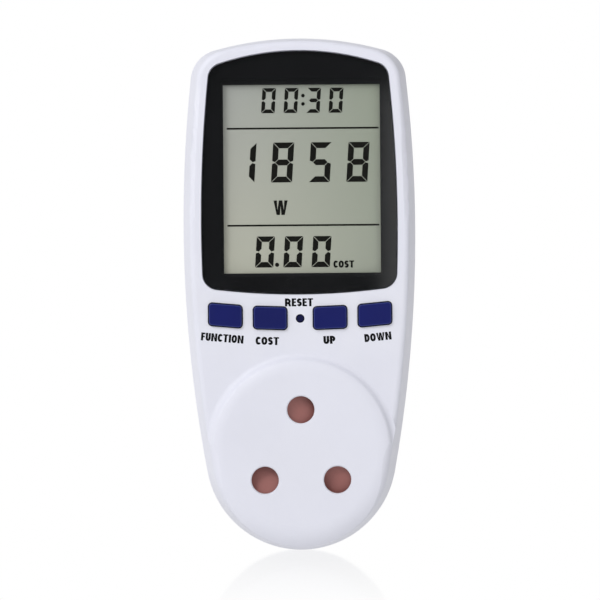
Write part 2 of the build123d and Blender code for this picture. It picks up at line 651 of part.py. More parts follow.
SWITCHES = {name: (x, key_slope(x)) for name, x in KEY_X.items()}
SWITCHES["reset"] = (0.0, KEY_ROW_Z)
LID_Y = SWITCH_TOP_Y + 0.7
DOME_Y = DISPLAY_BOARD_Y - 0.6
for name, (x, z) in SWITCHES.items():
    with BuildPart() as housing:
        half = SWITCH_SIZE / 2
        slab(x - half, x + half, SWITCH_TOP_Y, DISPLAY_BOARD_Y, z - half, z + half)
        fillet(housing.edges().filter_by(Axis.Y), 0.4)
        slab(x - half + 0.5, x + half - 0.5, LID_Y, DISPLAY_BOARD_Y,
             z - half + 0.5, z + half - 0.5, mode=Mode.SUBTRACT)
        rod(x, z, SWITCH_TOP_Y - 1, LID_Y + 1, PLUNGER_R + 0.1, mode=Mode.SUBTRACT)
    save(housing, f"switch_{name}")
    with BuildPart() as plunger:
        rod(x, z, PLUNGER_TOP_Y, LID_Y + 0.1, PLUNGER_R)
        rod(x, z, LID_Y + 0.1, LID_Y + 0.8, PLUNGER_R + 0.5)
        rod(x, z, LID_Y + 0.8, DOME_Y - KEY_TRAVEL - 0.1, 1.2)
    save(plunger, f"plunger_{name}")

with BuildPart() as snap_domes:
    for x, z in SWITCHES.values():
        with Locations(Plane(origin=(x, DISPLAY_BOARD_Y, z), x_dir=(1, 0, 0), z_dir=(0, -1, 0))):
            Cone(2.3, 1.3, DISPLAY_BOARD_Y - DOME_Y,
                 align=(Align.CENTER, Align.CENTER, Align.MIN))
save(snap_domes, "snap_domes")

# ================================================================== socket
with BuildPart() as socket_shutter:
    with BuildSketch(front(SHUTTER_BACK_Y)):
        with Locations((0, PATTERN_Z)):
            Circle(SHUTTER_R)
        with BuildSketch(mode=Mode.INTERSECT):
            for angle in COVER_ANGLES:
                reach = 2 * SHUTTER_R
                low, high = angle - SHUTTER_HALF_ANGLE, angle + SHUTTER_HALF_ANGLE
                with BuildLine():
                    Polyline((0, PATTERN_Z), shutter_point(reach, low),
                             shutter_point(reach, high), close=True)
                make_face()
        with Locations((0, PATTERN_Z)):
            Circle(SHUTTER_HUB_R)
            Circle(SHUTTER_BORE_R, mode=Mode.SUBTRACT)
    extrude(amount=SHUTTER_THICK)
    rod(0, PATTERN_Z, SHUTTER_BACK_Y - SPRING_POCKET_DEPTH, SHUTTER_BACK_Y + 1, SPRING_POCKET_R,
        mode=Mode.SUBTRACT)
    with BuildPart(mode=Mode.PRIVATE) as ramp:
        rise = tan(radians(RAMP_ANGLE))
        end_x = SHUTTER_R / 2
        with BuildSketch(Plane.XY.offset(PATTERN_Z + SHUTTER_HUB_R)):
            with BuildLine():
                Polyline(
                    (RAMP_START, SHUTTER_FRONT_Y),
                    (end_x, SHUTTER_FRONT_Y + (end_x - RAMP_START) * rise),
                    (end_x, SHUTTER_FRONT_Y - 1),
                    (RAMP_START, SHUTTER_FRONT_Y - 1),
                    close=True,
                )
            make_face()
        extrude(amount=SHUTTER_R)
    for angle in COVER_ANGLES:
        turned = ramp.part.rotate(Axis((0, 0, PATTERN_Z), (0, -1, 0)), angle - 90)
        add(turned, mode=Mode.SUBTRACT)
save(socket_shutter, "socket_shutter")

with BuildPart() as shutter_spring:
    with BuildLine():
        coil = Helix(0.5, 1.25, SPRING_R, center=(0, CARRIER_FRONT_Y - 0.25, PATTERN_Z),
                     direction=(0, -1, 0))
    with BuildSketch(Plane(coil @ 0, z_dir=coil % 0)):
        Circle(SPRING_WIRE_R)
    sweep(is_frenet=True)
save(shutter_spring, "shutter_spring")

with BuildPart() as carrier_cover:
    rod(0, 0, CARRIER_FRONT_Y, SLEEVE_FRONT_Y, CARRIER_R)
    rod(0, PATTERN_Z, DISC_INNER_Y + 0.1, CARRIER_FRONT_Y, PIVOT_R)
    for x in (-PIN_HALF_PITCH, PIN_HALF_PITCH):
        rod(x, LIVE_Z, CARRIER_FRONT_Y - 1, SLEEVE_FRONT_Y + 1, 3.1, mode=Mode.SUBTRACT)
    rod(0, EARTH_Z, CARRIER_FRONT_Y - 1, SLEEVE_FRONT_Y + 1, 3.8, mode=Mode.SUBTRACT)
    for angle in CARRIER_SCREW_ANGLES:
        x, z = shutter_point(CARRIER_SCREW_R, angle)
        rod(x, z, CARRIER_FRONT_Y - 1, SLEEVE_FRONT_Y + 1, MEDIUM_SHANK_R + 0.15,
            mode=Mode.SUBTRACT)
save(carrier_cover, "carrier_cover")

CARRIER_PLATE_BACK_Y = SLEEVE_FRONT_Y + CARRIER_PLATE
BARRELS = [
    (-PIN_HALF_PITCH, LIVE_Z, LIVE_SLEEVE_R, LIVE_SLEEVE_BACK_Y, LIVE_BARREL_R, LIVE_TAIL_R),
    (PIN_HALF_PITCH, LIVE_Z, LIVE_SLEEVE_R, LIVE_SLEEVE_BACK_Y, LIVE_BARREL_R, LIVE_TAIL_R),
    (0, EARTH_Z, EARTH_SLEEVE_R, EARTH_SLEEVE_BACK_Y, EARTH_BARREL_R, EARTH_TAIL_R),
]
with BuildPart() as contact_carrier:
    rod(0, 0, SLEEVE_FRONT_Y, CARRIER_PLATE_BACK_Y, CARRIER_R)
    for x, z, sleeve_r, back, barrel_r, tail_r in BARRELS:
        rod(x, z, SLEEVE_FRONT_Y, back + SLEEVE_BASE + 1.5, barrel_r)
    slab(-PIN_HALF_PITCH, PIN_HALF_PITCH, CARRIER_PLATE_BACK_Y, CARRIER_PLATE_BACK_Y + 6,
         LIVE_Z - 0.7, LIVE_Z + 0.7)
    slab(-0.7, 0.7, CARRIER_PLATE_BACK_Y, CARRIER_PLATE_BACK_Y + 6, LIVE_Z, EARTH_Z)
    for x, z, sleeve_r, back, barrel_r, tail_r in BARRELS:
        rod(x, z, SLEEVE_FRONT_Y, back + SLEEVE_BASE, sleeve_r + SLEEVE_GAP, mode=Mode.SUBTRACT)
        rod(x, z, back, back + 5, tail_r + SLEEVE_GAP, mode=Mode.SUBTRACT)
    for angle in CARRIER_SCREW_ANGLES:
        x, z = shutter_point(CARRIER_SCREW_R, angle)
        rod(x, z, SLEEVE_FRONT_Y, CARRIER_PLATE_BACK_Y + 1, MEDIUM_SHANK_R + 0.15,
            mode=Mode.SUBTRACT)
save(contact_carrier, "contact_carrier")


def contact(x, z, sleeve_r, bore_r, back, tail_r, tail_end):
    """Slotted brass sleeve that grips a pin, closed behind, with a solder tail."""
    with BuildPart() as piece:
        rod(x, z, SLEEVE_FRONT_Y, back + SLEEVE_BASE, sleeve_r)
        rod(x, z, SLEEVE_FRONT_Y, back, bore_r, mode=Mode.SUBTRACT)
        reach = sleeve_r + 1
        slab(x - 0.3, x + 0.3, SLEEVE_FRONT_Y, back - 1.5, z - reach, z + reach,
             mode=Mode.SUBTRACT)
        slab(x - reach, x + reach, SLEEVE_FRONT_Y, back - 1.5, z - 0.3, z + 0.3,
             mode=Mode.SUBTRACT)
        rod(x, z, back + SLEEVE_BASE, tail_end, tail_r)
    return piece


line_contact = contact(PIN_HALF_PITCH, LIVE_Z, LIVE_SLEEVE_R, LIVE_SLEEVE_BORE_R,
                       LIVE_SLEEVE_BACK_Y, LIVE_TAIL_R, LOAD_STRAP_Y)
save(line_contact, "line_contact")
neutral_contact = contact(-PIN_HALF_PITCH, LIVE_Z, LIVE_SLEEVE_R, LIVE_SLEEVE_BORE_R,
                          LIVE_SLEEVE_BACK_Y, LIVE_TAIL_R, STRAP_Y)
save(neutral_contact, "neutral_contact")
earth_contact = contact(0, EARTH_Z, EARTH_SLEEVE_R, EARTH_SLEEVE_BORE_R,
                        EARTH_SLEEVE_BACK_Y, EARTH_TAIL_R, STRAP_Y)
save(earth_contact, "earth_contact")

# ================================================================== plug
FLANGE_FRONT_Y = BOSS_FLOOR_Y - PIN_FLANGE


def plug_pin(x, z, radius, length, flange_r, tail_r, tip_r):
    """Round pin with a rounded tip, turned down where it passes the boss floor, with a flange
    behind that floor and a tail for its strap."""
    with BuildPart() as piece:
        rod(x, z, PIN_SHOULDER_Y, length, radius)
        fillet(piece.faces().sort_by(Axis.Y)[-1].edges(), tip_r)
        rod(x, z, BOSS_FLOOR_Y, PIN_SHOULDER_Y, radius - PIN_NECK_STEP)
        rod(x, z, FLANGE_FRONT_Y, BOSS_FLOOR_Y, flange_r)
        rod(x, z, STRAP_Y, FLANGE_FRONT_Y, tail_r)
    return piece


line_pin = plug_pin(PIN_HALF_PITCH, LIVE_Z, LIVE_PIN_R, LIVE_PIN_LENGTH, LIVE_FLANGE_R,
                    PIN_TAIL_R, 1.6)
save(line_pin, "line_pin")
neutral_pin = plug_pin(-PIN_HALF_PITCH, LIVE_Z, LIVE_PIN_R, LIVE_PIN_LENGTH, LIVE_FLANGE_R,
                       PIN_TAIL_R, 1.6)
save(neutral_pin, "neutral_pin")
earth_pin = plug_pin(0, EARTH_Z, EARTH_PIN_R, EARTH_PIN_LENGTH, EARTH_FLANGE_R,
                     EARTH_TAIL_R, 2.2)
save(earth_pin, "earth_pin")

with BuildPart() as pin_retainer:
    rod(0, 0, PLATE_Y, FLANGE_FRONT_Y, PLUG_BOSS_R - BACK_WALL - 0.4)
    for x in (-PIN_HALF_PITCH, PIN_HALF_PITCH):
        rod(x, LIVE_Z, PLATE_Y - 1, FLANGE_FRONT_Y + 1, PIN_TAIL_R + 0.15, mode=Mode.SUBTRACT)
    rod(0, EARTH_Z, PLATE_Y - 1, FLANGE_FRONT_Y + 1, EARTH_TAIL_R + 0.15, mode=Mode.SUBTRACT)
    for x, z in RETAINER_SCREWS:
        rod(x, z, PLATE_Y - 1, FLANGE_FRONT_Y + 1, MEDIUM_SHANK_R + 0.15, mode=Mode.SUBTRACT)
save(pin_retainer, "pin_retainer")


def strap(x, front_y, ring_hole, top_z, tab_end):
    """Flat copper strip from a pin up to the power board, with a tab through the board."""
    back_face_y = front_y + STRAP_THICK
    with BuildPart() as piece:
        rod(x, LIVE_Z, front_y, back_face_y, 3.6)
        slab(x - STRAP_HALF_WIDTH, x + STRAP_HALF_WIDTH, front_y, back_face_y, LIVE_Z, top_z)
        slab(x - TAB_HALF_WIDTH, x + TAB_HALF_WIDTH, tab_end, back_face_y,
             top_z - STRAP_THICK, top_z)
        if ring_hole:
            rod(x, LIVE_Z, front_y - 1, back_face_y + 1, ring_hole, mode=Mode.SUBTRACT)
    return piece


line_pin_strap = strap(PIN_HALF_PITCH, STRAP_Y, PIN_TAIL_R + 0.02, PIN_TAB_Z, TAB_END_Y)
save(line_pin_strap, "line_pin_strap")
line_contact_strap = strap(PIN_HALF_PITCH, LOAD_STRAP_Y, 0, LOAD_TAB_Z, TAB_END_Y)
save(line_contact_strap, "line_contact_strap")
neutral_strap = strap(-PIN_HALF_PITCH, STRAP_Y, PIN_TAIL_R + 0.02, PIN_TAB_Z, TAB_END_Y)
save(neutral_strap, "neutral_strap")

# ================================================================== electronics
with BuildPart() as power_board:
    with BuildSketch(front(POWER_BOARD_BACK_Y)):
        add(case_profile(4.2))
        with Locations((0, (POWER_BOARD_BOTTOM_Z + POWER_BOARD_TOP_Z) / 2)):
            Rectangle(3 * HALF_WIDTH, POWER_BOARD_TOP_Z - POWER_BOARD_BOTTOM_Z,
                      mode=Mode.INTERSECT)
        with Locations(*POWER_SCREWS):
            Circle(MEDIUM_SHANK_R + 0.15, mode=Mode.SUBTRACT)
        tabs = [(PIN_HALF_PITCH, PIN_TAB_Z), (PIN_HALF_PITCH, LOAD_TAB_Z),
                (-PIN_HALF_PITCH, PIN_TAB_Z)]
        with Locations(*[(x, z - STRAP_THICK / 2) for x, z in tabs]):
            Rectangle(2 * TAB_HALF_WIDTH + 0.2, STRAP_THICK + 0.2, mode=Mode.SUBTRACT)
    extrude(amount=BOARD_THICK)
save(power_board, "power_board")

with BuildPart() as film_capacitor:
    slab(-21, -3, POWER_BOARD_Y - 13, POWER_BOARD_Y, 50, 58.5)
    fillet(film_capacitor.edges().filter_by(Axis.Y), 0.6)
    fillet(film_capacitor.faces().sort_by(Axis.Y)[0].edges(), 0.5)
save(film_capacitor, "film_capacitor")

with BuildPart() as electrolytic_capacitors:
    for z in (68, 80):
        rod(12, z, POWER_BOARD_Y - 12, POWER_BOARD_Y, 4)
        rod(12, z, POWER_BOARD_Y - 1.8, POWER_BOARD_Y - 1.2, 5, mode=Mode.ADD)
        rod(12, z, POWER_BOARD_Y - 12, POWER_BOARD_Y - 11.8, 2.6, mode=Mode.SUBTRACT)
save(electrolytic_capacitors, "electrolytic_capacitors")

with BuildPart() as varistor:
    with Locations(Plane(origin=(12, POWER_BOARD_Y - 6.5, 52.5), x_dir=(0, 1, 0),
                         z_dir=(1, 0, 0))):
        Cylinder(5, 4, align=(Align.CENTER, Align.CENTER, Align.MIN))
    fillet(varistor.edges().filter_by(GeomType.CIRCLE), 1.2)
    rod(13.4, 50, POWER_BOARD_Y - 4, POWER_BOARD_Y, 0.4)
    rod(14.6, 55, POWER_BOARD_Y - 4, POWER_BOARD_Y, 0.4)
save(varistor, "varistor")

with BuildPart() as shunt:
    slab(3, 15, POWER_BOARD_Y - 3, POWER_BOARD_Y - 2.2, 43.5, 46.5)
    slab(3, 3.8, POWER_BOARD_Y - 3, POWER_BOARD_Y, 43.5, 46.5)
    slab(14.2, 15, POWER_BOARD_Y - 3, POWER_BOARD_Y, 43.5, 46.5)
    fillet(shunt.edges().filter_by(Axis.Z).sort_by(Axis.Y)[:2], 0.6)
save(shunt, "shunt")

BATTERY_Y = DISPLAY_BOARD_BACK_Y + 5.8
with BuildPart() as backup_battery:
    for x in (-20, -14.6, -9.2):
        with Locations(Plane(origin=(x, BATTERY_Y, 66), x_dir=(0, 1, 0), z_dir=(1, 0, 0))):
            Cylinder(5.7, 5.3, align=(Align.CENTER, Align.CENTER, Align.MIN))
            Cylinder(4.4, 5.5, align=(Align.CENTER, Align.CENTER, Align.MIN))
    slab(-20.3, -20, DISPLAY_BOARD_BACK_Y, BATTERY_Y + 2, 64, 68)
    slab(-3.9, -3.6, DISPLAY_BOARD_BACK_Y, BATTERY_Y + 2, 64, 68)
    slab(-3.9, -3.5, BATTERY_Y - 2, BATTERY_Y + 2, 64, 68)
save(backup_battery, "backup_battery")

with BuildPart() as metering_chip:
    slab(-15, -5, DISPLAY_BOARD_BACK_Y + 0.1, DISPLAY_BOARD_BACK_Y + 1.5, 79, 89)
    for i in range(12):
        offset_along = -4.4 + 0.8 * i
        slab(-16, -4, DISPLAY_BOARD_BACK_Y, DISPLAY_BOARD_BACK_Y + 0.3,
             84 + offset_along - 0.15, 84 + offset_along + 0.15)
        slab(-10 + offset_along - 0.15, -10 + offset_along + 0.15, DISPLAY_BOARD_BACK_Y,
             DISPLAY_BOARD_BACK_Y + 0.3, 78, 90)
save(metering_chip, "metering_chip")

with BuildPart() as crystal:
    with Locations((4, DISPLAY_BOARD_BACK_Y + 1.5, 84)):
        Cylinder(1.5, 8)
    fillet(crystal.edges().filter_by(GeomType.CIRCLE), 0.4)
save(crystal, "crystal")

with BuildPart() as board_header:
    slab(-7.5, 7.5, DISPLAY_BOARD_BACK_Y, DISPLAY_BOARD_BACK_Y + 2.5, 90.8, 93.2)
    slab(-7.5, 7.5, POWER_BOARD_Y - 4, POWER_BOARD_Y, 90.8, 93.2)
    for i in range(6):
        x = 2.54 * (i - 2.5)
        slab(x - 0.32, x + 0.32, DISPLAY_BOARD_BACK_Y, POWER_BOARD_Y, 91.68, 92.32)
save(board_header, "board_header")

# ================================================================== fasteners
with BuildPart() as case_screws:
    for x, z in CASE_SCREWS:
        screw(x, z, case_seat(z), POST_JOIN_Y - 9.5, 2.8, 2.2, CASE_PILOT_R - 0.02)
save(case_screws, "case_screws")

with BuildPart() as display_board_screws:
    for x, z in DISPLAY_SCREWS:
        screw(x, z, DISPLAY_BOARD_BACK_Y, DISPLAY_BOARD_Y - 3.6, 1.5, 1.1, SMALL_SHANK_R)
save(display_board_screws, "display_board_screws")

with BuildPart() as power_board_screws:
    for x, z in POWER_SCREWS:
        screw(x, z, POWER_BOARD_Y, wall_middle(z) - 0.8, 2.1, 1.5, MEDIUM_SHANK_R)
save(power_board_screws, "power_board_screws")

with BuildPart() as carrier_screws:
    for angle in CARRIER_SCREW_ANGLES:
        x, z = shutter_point(CARRIER_SCREW_R, angle)
        screw(x, z, CARRIER_PLATE_BACK_Y, DISC_INNER_Y + 0.2, 2.1, 1.5, MEDIUM_SHANK_R)
save(carrier_screws, "carrier_screws")

with BuildPart() as retainer_screws:
    for x, z in RETAINER_SCREWS:
        screw_seat = PLATE_Y
        rod(x, z, screw_seat - 1.4, screw_seat, 2.1)
        rod(x, z, screw_seat, PLUG_FACE_Y - 1.2, MEDIUM_SHANK_R)
        slab(x - 0.35, x + 0.35, screw_seat - 1.4, screw_seat - 0.6, z - 1.3, z + 1.3,
             mode=Mode.SUBTRACT)
save(retainer_screws, "retainer_screws")

# ================================================================== blank rating label
slope = atan2(BACK_Y - BACK_TOP_Y, TOP_Z - BACK_SLOPE_Z)
label_z = 67.0
with BuildPart() as rating_label:
    with BuildSketch(Plane(origin=(0, back_y(label_z), label_z), x_dir=(-1, 0, 0),
                           z_dir=(0, cos(slope), sin(slope)))):
        RectangleRounded(36, 28, 1.5)
    extrude(amount=0.12)
save(rating_label, "rating_label")
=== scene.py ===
import json
from math import cos, pi, radians, sin, tan

import bmesh
import bpy
from mathutils import Matrix, Vector


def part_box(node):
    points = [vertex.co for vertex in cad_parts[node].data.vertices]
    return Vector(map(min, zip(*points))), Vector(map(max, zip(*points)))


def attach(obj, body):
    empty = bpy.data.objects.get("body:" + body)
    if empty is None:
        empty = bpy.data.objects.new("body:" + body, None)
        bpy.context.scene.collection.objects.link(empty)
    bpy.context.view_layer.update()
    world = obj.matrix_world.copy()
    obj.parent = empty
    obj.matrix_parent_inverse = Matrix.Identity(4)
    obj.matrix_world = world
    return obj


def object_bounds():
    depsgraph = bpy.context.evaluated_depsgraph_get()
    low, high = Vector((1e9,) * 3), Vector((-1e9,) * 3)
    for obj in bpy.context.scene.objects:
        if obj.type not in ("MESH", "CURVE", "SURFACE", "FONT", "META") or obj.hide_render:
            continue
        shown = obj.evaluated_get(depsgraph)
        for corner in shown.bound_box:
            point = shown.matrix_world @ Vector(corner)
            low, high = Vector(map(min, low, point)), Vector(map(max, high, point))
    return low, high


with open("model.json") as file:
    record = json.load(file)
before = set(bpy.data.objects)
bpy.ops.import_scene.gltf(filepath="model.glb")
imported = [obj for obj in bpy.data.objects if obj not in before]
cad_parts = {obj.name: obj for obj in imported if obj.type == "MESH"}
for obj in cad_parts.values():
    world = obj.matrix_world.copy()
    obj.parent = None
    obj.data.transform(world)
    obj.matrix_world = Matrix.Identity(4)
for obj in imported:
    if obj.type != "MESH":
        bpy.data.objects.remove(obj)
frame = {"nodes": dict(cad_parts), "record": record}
cad_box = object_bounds()

MM = 0.001
COLOUR_A, COLOUR_B, MIXED_COLOUR = 6, 7, 2     # sockets of a Mix node set to colour
SLOT_OF = {s["node"]: s["material_slot"] for s in frame["record"]["subparts"]}


# ---------------------------------------------------------------- node helpers
class Tree:
    """A few shortcuts for building the node tree of a material or a world."""

    def __init__(self, owner, output_kind):
        self.owner = owner
        owner.use_nodes = True
        self.nodes = owner.node_tree.nodes
        self.links = owner.node_tree.links
        self.nodes.clear()
        self.out = self.nodes.new(output_kind)

    @classmethod
    def material(cls, name):
        """Empty tree of a new material, with its object coordinates at hand."""
        tree = cls(bpy.data.materials.new(name), "ShaderNodeOutputMaterial")
        tree.coords = tree.node("ShaderNodeTexCoord").outputs["Object"]
        return tree

    def node(self, kind, **settings):
        made = self.nodes.new(kind)
        for key, value in settings.items():
            setattr(made, key, value)
        return made

    def link(self, source, target):
        self.links.new(source, target)

    def noise(self, scale, detail=3.0, stretch=(1, 1, 1)):
        """Noise in object space; scale is features per metre."""
        mapping = self.node("ShaderNodeMapping")
        mapping.inputs["Scale"].default_value = stretch
        self.link(self.coords, mapping.inputs["Vector"])
        tex = self.node("ShaderNodeTexNoise")
        tex.inputs["Scale"].default_value = scale
        tex.inputs["Detail"].default_value = detail
        self.link(mapping.outputs["Vector"], tex.inputs["Vector"])
        return tex.outputs["Fac"]

    def split(self, vector):
        """The X, Y and Z sockets of a vector."""
        split = self.node("ShaderNodeSeparateXYZ")
        self.link(vector, split.inputs["Vector"])
        return split.outputs

    def math(self, operation, first, second):
        """One operation on two values, each a socket or a number."""
        node = self.node("ShaderNodeMath", operation=operation)
        for side, value in enumerate((first, second)):
            if isinstance(value, float):
                node.inputs[side].default_value = value
            else:
                self.link(value, node.inputs[side])
        return node.outputs["Value"]

    def remap(self, source, low, high, to_low=0.0, to_high=1.0, shape="LINEAR"):
        """Map of a value from one range to another, clamped at both ends."""
        remap = self.node("ShaderNodeMapRange", interpolation_type=shape)
        for key, value in (("From Min", low), ("From Max", high), ("To Min", to_low),
                           ("To Max", to_high)):
            remap.inputs[key].default_value = value
        self.link(source, remap.inputs["Value"])
        return remap.outputs["Result"]

    def mix(self, factor, first, second):
        """Colour mix; each side is a colour or a socket."""
        mix = self.node("ShaderNodeMix", data_type="RGBA")
        self.link(factor, mix.inputs["Factor"])
        for side, value in ((COLOUR_A, first), (COLOUR_B, second)):
            if isinstance(value, tuple):
                mix.inputs[side].default_value = (*value, 1)
            else:
                self.link(value, mix.inputs[side])
        return mix.outputs[MIXED_COLOUR]

    def white_gloss(self, rough):
        """Plain white reflection whose roughness comes from a socket."""
        gloss = self.node("ShaderNodeBsdfGlossy")
        gloss.inputs["Color"].default_value = (1, 1, 1, 1)
        self.link(rough, gloss.inputs["Roughness"])
        return gloss

    def mix_shaders(self, factor, first, second):
        """Blend two shaders and make the result the surface."""
        mixed = self.node("ShaderNodeMixShader")
        self.link(factor, mixed.inputs["Fac"])
        self.link(first, mixed.inputs[1])
        self.link(second, mixed.inputs[2])
        self.link(mixed.outputs["Shader"], self.out.inputs["Surface"])

    def bump(self, height, strength, distance):
        bump = self.node("ShaderNodeBump")
        bump.inputs["Strength"].default_value = strength
        bump.inputs["Distance"].default_value = distance
        self.link(height, bump.inputs["Height"])
        return bump.outputs["Normal"]


def shade(colour, factor):
    return tuple(min(1.0, c * factor) for c in colour)


def srgb(r, g, b):
    """Linear colour from 0-255 display values."""
    def channel(v):
        v /= 255
        return v / 12.92 if v <= 0.04045 else ((v + 0.055) / 1.055) ** 2.4
    return channel(r), channel(g), channel(b)


SHELL_WHITE = srgb(226, 227, 238)
KEY_BLUE = srgb(5, 16, 90)
KEY_EDGE_HIGHLIGHT_BLUE = srgb(40, 52, 122)          # painted highlight on the rounded top edges of the keys
# painted shade across the display panel: palest at its lower left corner, darkest at its top
# right
LCD_BOTTOM_LEFT = shade(srgb(168, 167, 153), 1.53)
LCD_BOTTOM_RIGHT = shade(srgb(157, 161, 147), 1.2)
LCD_TOP_LEFT = shade(srgb(157, 158, 153), 1.4)
LCD_TOP_RIGHT = shade(srgb(147, 153, 137), 1.24)


def surface(name, colour, rough=(0.4, 0.5), metallic=0.0, grain=2500, grain_depth=0.02,
            blotch=60, variation=0.03, wear=0.0, specular=0.5, coat=0.0, stretch=(1, 1, 1),
            paint=None):
    """Moulded or metal surface: colour drift, roughness drift, fine grain and worn edges.
    paint, if given, takes the tree and the colour so far and returns the colour to use."""
    t = Tree.material(name)
    bsdf = t.node("ShaderNodeBsdfPrincipled")
    bsdf.inputs["Metallic"].default_value = metallic
    bsdf.inputs["Specular IOR Level"].default_value = specular
    bsdf.inputs["Coat Weight"].default_value = coat
    drift = t.noise(blotch, 4.0)
    base = t.mix(t.remap(drift, 0.35, 0.65), shade(colour, 1 - variation),
                 shade(colour, 1 + variation))
    if wear:
        edge = t.node("ShaderNodeNewGeometry").outputs["Pointiness"]
        rubbed = t.remap(edge, 0.52, 0.62, 0.0, wear)      # pointiness is 0.5 where flat
        base = t.mix(rubbed, base, shade(colour, 1.6))
    if paint:
        base = paint(t, base)
    t.link(base, bsdf.inputs["Base Color"])
    t.link(t.remap(t.noise(blotch * 6, 5.0, stretch), 0.3, 0.7, *rough),
           bsdf.inputs["Roughness"])
    t.link(t.bump(t.noise(grain, 2.0, stretch), 0.35, grain_depth * MM),
           bsdf.inputs["Normal"])
    t.link(bsdf.outputs["BSDF"], t.out.inputs["Surface"])
    return t.owner


def keycap(name, colour):
    """Moulded key: worn edges a little paler, a painted highlight in paler blue along the rounded
    top edges, and painted shade darkening the sides where they run down into the case.
    """
    def paint(t, base):
        # a key's front faces -Y, so the normal's Y runs from -1 there to 0 on its sides
        facing = t.split(t.node("ShaderNodeNewGeometry").outputs["Normal"])["Y"]
        # painted highlight: the rounded top edges, where the normal starts to turn, are mixed to
        # a paler blue
        base = t.mix(t.remap(facing, -0.985, -0.9), base, KEY_EDGE_HIGHLIGHT_BLUE)
        # painted shade: the sides, facing away from the front, are darkened to a near-black navy
        # like a shadowed gap
        return t.mix(t.remap(facing, -0.75, -0.4), base, shade(colour, 0.2))
    return surface(name, colour, (0.34, 0.44), grain=2200, variation=0.08, wear=0.25,
                   specular=0.2, paint=paint)


def clear_plastic(name, tint):
    """Thin clear sheet: what is behind shows through, with a faint reflection over it."""
    t = Tree.material(name)
    rough = 0.03
    through = t.node("ShaderNodeBsdfTransparent")
    through.inputs["Color"].default_value = (*tint, 1)
    gloss = t.white_gloss(t.remap(t.noise(45, 3.0), 0.3, 0.7, rough, rough * 2))
    t.link(t.bump(t.noise(120, 2.0), 0.05, 0.01 * MM), gloss.inputs["Normal"])
    # only the outer side of the sheet reflects, by its Fresnel share
    fresnel = t.node("ShaderNodeFresnel")
    fresnel.inputs["IOR"].default_value = 1.45
    outer_side = t.math("SUBTRACT", 1.0, t.node("ShaderNodeNewGeometry").outputs["Backfacing"])
    t.mix_shaders(t.math("MULTIPLY", fresnel.outputs["Fac"], outer_side),
                  through.outputs["BSDF"], gloss.outputs["BSDF"])
    return t.owner


def lcd_material():
    """Grey-green reflective liquid crystal panel, with painted shade: paler towards its lower
    left, darker towards its top right.
    """
    t = Tree.material("lcd_panel")
    low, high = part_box("lcd_polarizer")
    place = t.split(t.coords)
    across = t.remap(place["X"], low.x, high.x)
    upward = t.remap(place["Z"], low.z, high.z)
    # painted shade: the panel's colour runs between its four corner colours across and up the
    # panel
    bottom = t.mix(across, LCD_BOTTOM_LEFT, LCD_BOTTOM_RIGHT)
    top = t.mix(across, LCD_TOP_LEFT, LCD_TOP_RIGHT)
    base = t.mix(upward, bottom, top)
    speckle = t.remap(t.noise(9000, 2.0), 0.3, 0.7, 0.0, 0.05)
    base = t.mix(speckle, base, (0.1, 0.11, 0.08))
    bsdf = t.node("ShaderNodeBsdfPrincipled")
    bsdf.inputs["Specular IOR Level"].default_value = 0.05
    t.link(base, bsdf.inputs["Base Color"])
    t.link(t.remap(t.noise(900, 3.0), 0.3, 0.7, 0.5, 0.62), bsdf.inputs["Roughness"])
    t.link(t.bump(t.noise(5000, 2.0), 0.1, 0.005 * MM), bsdf.inputs["Normal"])
    t.link(bsdf.outputs["BSDF"], t.out.inputs["Surface"])
    return t.owner


